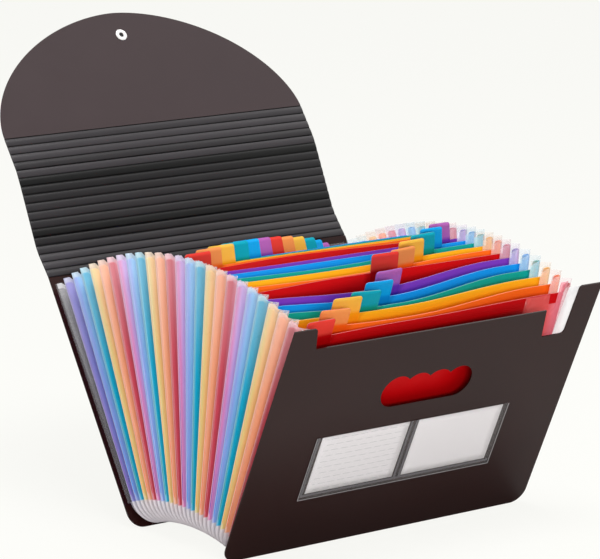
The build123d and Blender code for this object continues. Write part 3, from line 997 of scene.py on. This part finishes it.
class FOLDER_OT_lid(bpy.types.Operator):
    """Lay the ribs and the flap of the lid"""

    bl_idname = "folder.lid"
    bl_label = "Lid"

    def execute(self, context):
        lid = Lid(context.scene)
        colours = context.scene.folder_colours

        # The ribs' colour darkens towards the crease colour by the painted shade, fully in the creases and
        # more on some ribs than on others.
        def tints(tree):
            ribs = blend_colours(tree, attribute(tree, "groove"), colours.rib, colours.crease)
            return blend_colours(tree, attribute(tree, "rib"), colours.lid, ribs)

        finish = plastic("lid_plastic", tint=tints, roughness=0.4, grain=1100, shine=0.22)
        ends = (*lid.sizes.fold_creases, len(lid.leans))
        for node, first, end in zip(("lid_back_ribs", "lid_front_ribs", "lid_flap"), ends, ends[1:]):
            points, faces, painted_shades = make_ribs(lid, first, end)
            ribs = [1.0] * len(points)
            if node == "lid_flap":
                flap_points, flap_faces = make_flap(lid, len(points))
                points, faces = points + flap_points, faces + flap_faces
                painted_shades, ribs = (marks + [0.0] * len(flap_points) for marks in (painted_shades, ribs))
            piece = make_mesh(f"{node}_sheet", points, faces, [finish], groove=painted_shades, rib=ribs)
            settle(piece, node, "cover_plastic", node)
        return {"FINISHED"}


# Closure

# Radius and height in millimetres. The washer lies on the flap's inner face.
WASHER = (
    (2.3, 0.0), (5.65, 0.0), (5.75, 0.15), (5.75, 0.55), (5.6, 0.85), (5.2, 1.05), (4.4, 1.15),
    (3.2, 1.1), (2.6, 0.95), (2.35, 0.7), (2.3, 0.45), (2.3, 0.0),
)
BUTTON = (
    (0.0, 0.78), (1.6, 0.75), (2.05, 0.65), (2.25, 0.4), (2.25, -0.9), (4.0, -0.9), (4.0, -2.4),
    (7.4, -2.4), (8.0, -2.8), (8.0, -4.1), (7.6, -4.6), (6.6, -4.9), (4.0, -4.75), (0.0, -4.7),
)


class FOLDER_OT_closure(bpy.types.Operator):
    """Fit the washer and the button of the closure"""

    bl_idname = "folder.closure"
    bl_label = "Closure"

    def execute(self, context):
        lid = Lid(context.scene)
        colours = context.scene.folder_colours
        white = plastic("washer_plastic", colours.washer, cloud=0.05, roughness=0.35, grain=1500)
        dark = plastic("knob_plastic", colours.button, roughness=0.4, grain=1500, shine=0.15)
        turn = lid.closure_turn(lid.sizes.rib_thickness / 2)
        for name, profile, finish, slot, node in (
            ("closure_ring", WASHER, white, "white_plastic", "closure_washer"),
            ("closure_knob", BUTTON, dark, "button_plastic", "closure_button"),
        ):
            small = [(radius / 1000, height / 1000) for radius, height in profile]
            settle(lathe(name, small, turn, [finish]), "lid_flap", slot, node)
        return {"FINISHED"}


# Label

CARD_LINES, LINE_WIDTH, LINE_LENGTH = 10, 0.035, 0.45
DASHES, DASH_LENGTH, DASH_SHIFT = 9.0, 0.72, 0.37
# Points of a card and of the sleeve's film along their width and height.
CARD_GRID, FILM_GRID = (13, 9), (41, 15)
CARD_GAP, CARD_OUT, CARD_SWELL, CARD_THICKNESS = 0.001, 0.00015, 0.0002, 0.0003
FILM_TONE = (0.8, 0.8, 0.8)
FILM_OUT, FILM_BULGE, FILM_THICKNESS, FILM_CLEARNESS = 0.00048, 0.00012, 0.00015, 0.05
MOUTH_DROP, WELD_INSET, SEAM_INSET = 0.0006, 0.0042, 0.0014
EDGE_HALF, WELD_HALF, SEAM_HALF = 0.00035, 0.0011, 0.0012
BEAD_OUT, BEAD_HEIGHT, SHARPEST_TURN = 0.00055, 0.00025, 0.2
BEAD_SECTION = ((-1, 0.0), (-0.8, 0.75), (-0.4, 1.0), (0.4, 1.0), (0.8, 0.75), (1, 0.0))


def label_points(fan, sizes, x, up, out):
    """Points on the cover: x and up from the sleeve's centre, and out from the cover's outer face."""
    reach = fan.feet[0] + sizes.centre_height + np.asarray(up)
    return fan.points(0, x, reach, -fan.sizes.cover_thickness / 2 - np.asarray(out))


def paper(name, tone, line):
    """Matt paper, with faint broken lines if it is lined."""

    def lines(tree):
        do, row, place = partial(math_node, tree), attribute(tree, "line"), attribute(tree, "dash")
        shift = do("MULTIPLY", do("FLOOR", row), DASH_SHIFT)
        dash = do("FRACT", do("ADD", do("MULTIPLY", place, DASHES), shift))
        off, edge = (do("ABSOLUTE", do("SUBTRACT", part, 0.5)) for part in (do("FRACT", row), place))
        marks = do("MULTIPLY", do("LESS_THAN", off, LINE_WIDTH), do("LESS_THAN", dash, DASH_LENGTH))
        marks = do("MULTIPLY", marks, do("LESS_THAN", edge, LINE_LENGTH))
        return blend_colours(tree, marks, tone, line)

    tint = lines if line else None
    return plastic(name, tone, tint, cloud=0.04, roughness=0.6, grain=2500, bump=0.1)


def make_cards(place, sizes, colours):
    along, up = np.meshgrid(*(np.linspace(-0.5, 0.5, count) for count in CARD_GRID))
    out = CARD_OUT + CARD_SWELL * np.cos(math.pi * along) * np.cos(math.pi * up)
    marks = {"line": (0.5 - up) * CARD_LINES, "dash": along + 0.5}
    for kind, side, line in (("lined", -1, colours.card_line), ("plain", 1, None)):
        finish = paper(f"{kind}_paper", colours.card, line)
        centre = side * (sizes.card_width / 2 + CARD_GAP + sizes.seam / 2)
        points = place(centre + along * sizes.card_width, sizes.card_lift + up * sizes.card_height, out)
        card = make_mesh(f"{kind}_card_sheet", points, grid_faces(*out.shape), [finish], **marks)
        settle(card, "front_cover", "card_paper", f"{kind}_card")
        thicken(card, CARD_THICKNESS)


def make_bead(place, name, line, half, finish):
    """A flat-topped bead of film along a line on the sleeve."""
    steps = np.diff(line, axis=0)
    steps /= np.linalg.norm(steps, axis=1)[:, None]
    points = []
    for index, corner in enumerate(line):
        after = steps[min(index, len(steps) - 1)]
        way = steps[max(index - 1, 0)] + after
        way /= np.linalg.norm(way)
        side = np.array((-way[1], way[0])) / max(way @ after, SHARPEST_TURN)
        for across, height in BEAD_SECTION:
            x, up = corner + side * across * half
            points.append(place(x, up, BEAD_OUT + BEAD_HEIGHT * height))
    count, last = len(BEAD_SECTION), len(points) - len(BEAD_SECTION)
    faces = grid_faces(len(line), count, wrap=True)
    faces += [tuple(reversed(range(count))), tuple(range(last, last + count))]
    piece = make_mesh(name, points, [tuple(reversed(face)) for face in faces], [finish])
    settle(piece, "front_cover", "clear_film")


def make_sleeve(place, sizes, colours):
    half_width, half_height = sizes.width / 2, sizes.height / 2
    clear = plastic(
        "sleeve_film", FILM_TONE, cloud=0.05, roughness=0.15, unevenness=0.1, bump=0.05, shine=0.2
    )
    feed(clear.node_tree, clear.node_tree.nodes["Principled BSDF"], {"Alpha": FILM_CLEARNESS})
    along, up = np.meshgrid(*(np.linspace(-1, 1, count) for count in FILM_GRID))
    out = FILM_OUT + FILM_BULGE * np.abs(np.sin(math.pi * along)) * np.cos(math.pi / 2 * up)
    points = place(along * half_width, up * half_height - MOUTH_DROP * (1 + up), out)
    film = make_mesh("label_film", points, grid_faces(*out.shape), [clear])
    settle(film, "front_cover", "clear_film", "label_sleeve")
    thicken(film, FILM_THICKNESS)
    cut = plastic("cut_film", colours.sleeve_edge, cloud=0.3, roughness=0.3, grain=1200)
    weld = plastic("welded_film", colours.weld, cloud=0.3, roughness=0.4, grain=1200, shine=0.2)
    low, high = -half_height, half_height - 2 * MOUTH_DROP
    side, foot, gap = half_width - WELD_INSET / 2, low + WELD_INSET, sizes.seam / 2 - SEAM_INSET
    edge = [(-half_width, high), (-half_width, low), (half_width, low), (half_width, high)]
    make_bead(place, "label_edge", edge, EDGE_HALF, cut)
    make_bead(place, "label_weld", [(-side, high), (-side, foot), (side, foot)], WELD_HALF, weld)
    for name, x in (("label_seam_left", -gap), ("label_seam_right", gap)):
        make_bead(place, name, [(x, high), (x, foot)], SEAM_HALF, weld)


class FOLDER_OT_label(bpy.types.Operator):
    """Weld the label sleeve to the front cover and slide in its cards"""

    bl_idname = "folder.label"
    bl_label = "Label"

    def execute(self, context):
        sizes, colours = context.scene.folder_label, context.scene.folder_colours
        place = partial(label_points, Fan(context.scene), sizes)
        make_cards(place, sizes, colours)
        make_sleeve(place, sizes, colours)
        return {"FINISHED"}


# Stage

LIT_POINT = Vector((0, 0, 0.2))
# Each lamp's place, width and height.
LAMPS = {
    "key": ((-1.2, -2.1, 0.5), 0.9, 0.34),
    "fill": ((1.8, 0.2, 1.9), 1.2, 1.2),
    "top": ((-0.1, -0.25, 2.4), 1.3, 0.9),
}
FLOOR_TONE, FLOOR_ROUGHNESS, FLOOR_REFLECTED = 0.8, 0.9, 0.02


def add_camera(scene, stage):
    turn, height = stage.azimuth, stage.elevation
    right = Vector((math.cos(turn), math.sin(turn), 0))
    level = math.cos(height)
    back = Vector((math.sin(turn) * level, -math.cos(turn) * level, math.sin(height)))
    up = back.cross(right)
    target = Vector((0, 0, stage.target_height))
    place = target + back * stage.distance
    away = (place - target - right * stage.aim_right - up * stage.aim_up).normalized()
    rolled = right * math.cos(stage.roll) + up * math.sin(stage.roll)
    side = (rolled - rolled.dot(away) * away).normalized()
    view = Matrix((side, away.cross(side), away)).transposed().to_4x4()
    data = bpy.data.cameras.new("photo_camera")
    adjust(data, lens=stage.lens, sensor_width=36.0, clip_end=200)
    scene.camera = bpy.data.objects.new("photo_camera", data)
    scene.camera.matrix_world = Matrix.Translation(place) @ view
    scene.collection.objects.link(scene.camera)


def seen_directly(tree, reflected):
    """1 for what the camera sees, a share of that in a reflection, and 0 for light on the object."""
    path = add_node(tree, "ShaderNodeLightPath").outputs
    glossy = math_node(tree, "MULTIPLY", path["Is Glossy Ray"], reflected)
    mirrored = math_node(tree, "ADD", glossy, path["Is Transmission Ray"])
    seen = math_node(tree, "ADD", path["Is Camera Ray"], mirrored)
    seen.node.use_clamp = True
    return seen


def join_shaders(tree, part, first, second, end):
    """Feeds two shaders, blended by a part, to the tree's end."""
    inputs = {"Fac": part, 1: first.outputs[0], 2: second.outputs[0]}
    feed(tree, tree.nodes[end], {"Surface": add_node(tree, "ShaderNodeMixShader", inputs).outputs[0]})


def add_room(scene, stage):
    scene.world = bpy.data.worlds.new("studio")
    scene.world.use_nodes = True
    tree = scene.world.node_tree
    soft = tree.nodes["Background"]
    feed(tree, soft, {"Color": (1, 1, 1), "Strength": stage.room_light})
    white = add_node(tree, "ShaderNodeBackground", {"Color": stage.backdrop})
    join_shaders(tree, seen_directly(tree, 1.0), soft, white, "World Output")


def add_floor(stage):
    size = stage.floor_size
    corners = [(-size, -size, 0), (size, -size, 0), (size, size, 0), (-size, size, 0)]
    material = bpy.data.materials.new("pale_floor")
    material.use_nodes = True
    tree = material.node_tree
    lit = tree.nodes["Principled BSDF"]
    tone = [value * FLOOR_TONE for value in stage.backdrop]
    feed(tree, lit, {"Base Color": tone, "Roughness": FLOOR_ROUGHNESS})
    glow = add_node(tree, "ShaderNodeEmission", {"Color": stage.backdrop})
    even = math_node(tree, "MULTIPLY", seen_directly(tree, FLOOR_REFLECTED), 1 - stage.shadow)
    join_shaders(tree, even, lit, glow, "Material Output")
    make_mesh("floor", corners, [(0, 1, 2, 3)], [material])


class FOLDER_OT_stage(bpy.types.Operator):
    """Set the camera, the lamps and the floor"""

    bl_idname = "folder.stage"
    bl_label = "Stage"

    def execute(self, context):
        scene = context.scene
        scene.view_settings.view_transform = "Standard"
        stage = scene.folder_stage
        add_camera(scene, stage)
        add_room(scene, stage)
        add_floor(stage)
        for word, (place, width, height) in LAMPS.items():
            data = bpy.data.lights.new(f"{word}_lamp", "AREA")
            power = getattr(stage, f"{word}_light")
            adjust(data, shape="RECTANGLE", size=width, size_y=height, energy=power)
            lamp = bpy.data.objects.new(data.name, data)
            lamp.location = place
            lamp.rotation_euler = (LIT_POINT - Vector(place)).to_track_quat("-Z", "Y").to_euler()
            scene.collection.objects.link(lamp)
        return {"FINISHED"}


class FOLDER_PT_panel(bpy.types.Panel):
    """Sizes, colours and pieces of the folder"""

    bl_idname = "FOLDER_PT_panel"
    bl_label = "Accordion file folder"
    bl_space_type = "VIEW_3D"
    bl_region_type = "UI"
    bl_category = "Folder"

    def draw(self, context):
        for settings in SETTINGS:
            box = self.layout.box()
            group = getattr(context.scene, settings)
            for key in group.__annotations__:
                box.prop(group, key)
        for operator in PIECES:
            self.layout.operator(operator.bl_idname)


SETTINGS = {
    "folder_fan": FolderFan,
    "folder_dividers": FolderDividers,
    "folder_pleats": FolderPleats,
    "folder_lid": FolderLid,
    "folder_label": FolderLabel,
    "folder_colours": FolderColours,
    "folder_stage": FolderStage,
}
PIECES = (
    FOLDER_OT_stage,
    FOLDER_OT_covers,
    FOLDER_OT_dividers,
    FOLDER_OT_pleats,
    FOLDER_OT_lid,
    FOLDER_OT_closure,
    FOLDER_OT_label,
)
CLASSES = (*SETTINGS.values(), *PIECES, FOLDER_PT_panel)


def register():
    for item in CLASSES:
        bpy.utils.register_class(item)
    for name, settings in SETTINGS.items():
        setattr(bpy.types.Scene, name, PointerProperty(type=settings))


def unregister():
    for name in SETTINGS:
        delattr(bpy.types.Scene, name)
    for item in reversed(CLASSES):
        bpy.utils.unregister_class(item)


def main():
    register()
    for operator in PIECES:
        call = getattr(bpy.ops.folder, operator.bl_idname.split(".")[1])
        call()


if __name__ == "__main__":
    main()
